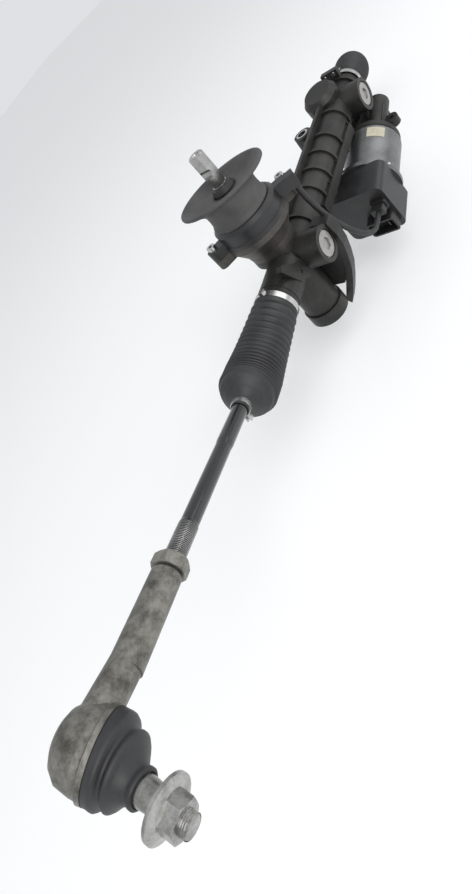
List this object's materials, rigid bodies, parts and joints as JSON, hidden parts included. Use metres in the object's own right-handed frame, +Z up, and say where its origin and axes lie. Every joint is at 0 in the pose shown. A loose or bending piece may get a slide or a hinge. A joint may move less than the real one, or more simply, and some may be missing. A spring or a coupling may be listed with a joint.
{
  "type": "steering rack",
  "caption": "Electric power steering rack: long tubular housing with input shaft, drive motor, bellows, tie rods and ball-jointed rod ends.",
  "frame": {"origin": "centre of the near mounting bore, halfway up its sleeve", "axes": "+X along the rack towards the drive unit, +Z up along the input shaft, +Y towards the mounting bores from the rack"},
  "size_m": [1.2191, 0.3251, 0.3501],
  "materials": {
    "casting": "dark warm grey die-cast aluminium, slightly rough",
    "bearing_steel": "ground bearing steel",
    "bush": "dark sliding bush",
    "yoke": "machined aluminium",
    "spring": "spring steel",
    "plug": "turned aluminium",
    "sleeve": "plated steel",
    "sensor_plastic": "black moulded plastic",
    "screw": "plated steel screws",
    "rubber": "dark charcoal rubber",
    "bellows": "dark charcoal moulded rubber",
    "seal": "black rubber",
    "motor": "silver-grey drawn steel",
    "stator": "laminated iron",
    "rotor": "laminated iron",
    "label": "plain beige plate",
    "unit": "die-cast aluminium",
    "board": "green circuit board",
    "lead": "black sleeved cable",
    "clamp": "bright steel strip",
    "rack": "ground steel",
    "wheel": "natural nylon rim",
    "joint": "turned steel",
    "seat": "pale plastic bearing shell",
    "rod": "gloss black painted steel",
    "nut": "plain steel, slightly dulled",
    "rod_end": "bare forged steel, grey-olive, pitted",
    "stud": "turned steel",
    "stud_nut": "zinc-plated steel"
  },
  "bodies": {
    "housing": {"main_housing": "casting", "near_nozzle": "casting", "far_nozzle": "casting", "pinion_bearings": "bearing_steel", "drive_bearings": "bearing_steel", "rack_bushes": "bush", "near_yoke": "yoke", "far_yoke": "yoke", "yoke_springs": "spring", "yoke_plugs": "plug", "mount_sleeves": "sleeve", "bearing_cap": "casting", "sensor_housing": "casting", "sensor_cover": "sensor_plastic", "cover_screws": "screw", "bulkhead_boot": "rubber", "shaft_seal": "seal", "gear_housing": "casting", "gear_cover": "casting", "drive_screws": "screw", "motor_can": "motor", "motor_stator": "stator", "label_plate": "label", "control_unit": "unit", "control_board": "board", "unit_cover": "sensor_plastic", "power_socket": "sensor_plastic", "sensor_lead": "lead", "sensor_plug": "sensor_plastic", "unit_plug": "sensor_plastic", "near_large_clamp": "clamp", "far_large_clamp": "clamp", "near_bellows": "bellows", "far_bellows": "bellows"},
    "rack": {"rack_bar": "rack", "near_inner_joint": "joint", "far_inner_joint": "joint"},
    "input_shaft": {"input_shaft": "rack"},
    "drive_pinion": {"drive_pinion": "rack", "worm_wheel": "wheel"},
    "worm": {"worm_shaft": "rack", "motor_rotor": "rotor"},
    "near_inner_seat": {"near_inner_seat": "seat"},
    "near_tie_rod": {"near_tie_rod": "rod", "near_lock_nut": "nut", "near_small_clamp": "clamp", "near_rod_end": "rod_end"},
    "near_outer_seat": {"near_outer_seat": "seat", "near_stud_boot": "rubber"},
    "near_ball_stud": {"near_ball_stud": "stud", "near_stud_nut": "stud_nut"},
    "far_inner_seat": {"far_inner_seat": "seat"},
    "far_tie_rod": {"far_tie_rod": "rod", "far_lock_nut": "nut", "far_small_clamp": "clamp", "far_rod_end": "rod_end"},
    "far_outer_seat": {"far_outer_seat": "seat", "far_stud_boot": "rubber"},
    "far_ball_stud": {"far_ball_stud": "stud", "far_stud_nut": "stud_nut"}
  },
  "joints": [
    {"name": "rack_slide", "type": "slide", "parent": "housing", "child": "rack", "axis": [1, 0, 0], "range_m": [-0.029, 0.087], "deforming": ["near_bellows", "far_bellows"]},
    {"name": "input_spin", "type": "hinge", "parent": "housing", "child": "input_shaft", "pos_m": [-0.0483, -0.0316, 0], "axis": [0, 0, 1], "range_deg": [-185.6, 554.9]},
    {"name": "drive_spin", "type": "hinge", "parent": "housing", "child": "drive_pinion", "pos_m": [0.239, -0.0296, 0], "axis": [-0.1736, 0, 0.9848], "range_deg": [-149.8, 447.3]},
    {"name": "worm_spin", "type": "hinge", "parent": "housing", "child": "worm", "pos_m": [0.24768, -0.07447, -0.04924], "axis": [0.9848, 0, 0.1736], "range_deg": [-9158.6, 3059.5]},
    {"name": "near_rod_swing", "type": "hinge", "parent": "rack", "child": "near_inner_seat", "pos_m": [-0.221, -0.044, 0], "axis": [0, 0, 1], "range_deg": [-42.7, 9.3]},
    {"name": "near_rod_tilt", "type": "hinge", "parent": "near_inner_seat", "child": "near_tie_rod", "pos_m": [-0.221, -0.044, 0], "axis": [0.2866, -0.9581, 0], "range_deg": [-6.6, 45.4]},
    {"name": "near_stud_turn", "type": "hinge", "parent": "near_tie_rod", "child": "near_outer_seat", "pos_m": [-0.54178, -0.13996, 0.11797], "axis": [-0.0242, -0.8201, -0.5718], "continuous": true},
    {"name": "near_stud_tilt", "type": "hinge", "parent": "near_outer_seat", "child": "near_ball_stud", "pos_m": [-0.54178, -0.13996, 0.11797], "axis": [-0.9341, 0.2223, -0.2793], "range_deg": [-45.7, 2.3], "deforming": ["near_stud_boot"]},
    {"name": "far_rod_swing", "type": "hinge", "parent": "rack", "child": "far_inner_seat", "pos_m": [0.328, -0.044, 0], "axis": [0, 0, 1], "range_deg": [-50.3, 1.7]},
    {"name": "far_rod_tilt", "type": "hinge", "parent": "far_inner_seat", "child": "far_tie_rod", "pos_m": [0.328, -0.044, 0], "axis": [-0.4108, 0.9117, 0], "range_deg": [-46.4, 5.6]},
    {"name": "far_stud_turn", "type": "hinge", "parent": "far_tie_rod", "child": "far_outer_seat", "pos_m": [0.63137, 0.09269, -0.12373], "axis": [-0.2749, -0.06, -0.9596], "continuous": true},
    {"name": "far_stud_tilt", "type": "hinge", "parent": "far_outer_seat", "child": "far_ball_stud", "pos_m": [0.63137, 0.09269, -0.12373], "axis": [-0.4389, 0.8958, 0.0697], "range_deg": [-31.9, 16.1], "deforming": ["far_stud_boot"]}
  ],
  "couplings": [
    {"joint": "input_spin", "follows": "rack_slide", "rad_per_m": 111.11},
    {"joint": "drive_spin", "follows": "rack_slide", "rad_per_m": 89.528},
    {"joint": "worm_spin", "follows": "rack_slide", "rad_per_m": -1835.3}
  ]
}
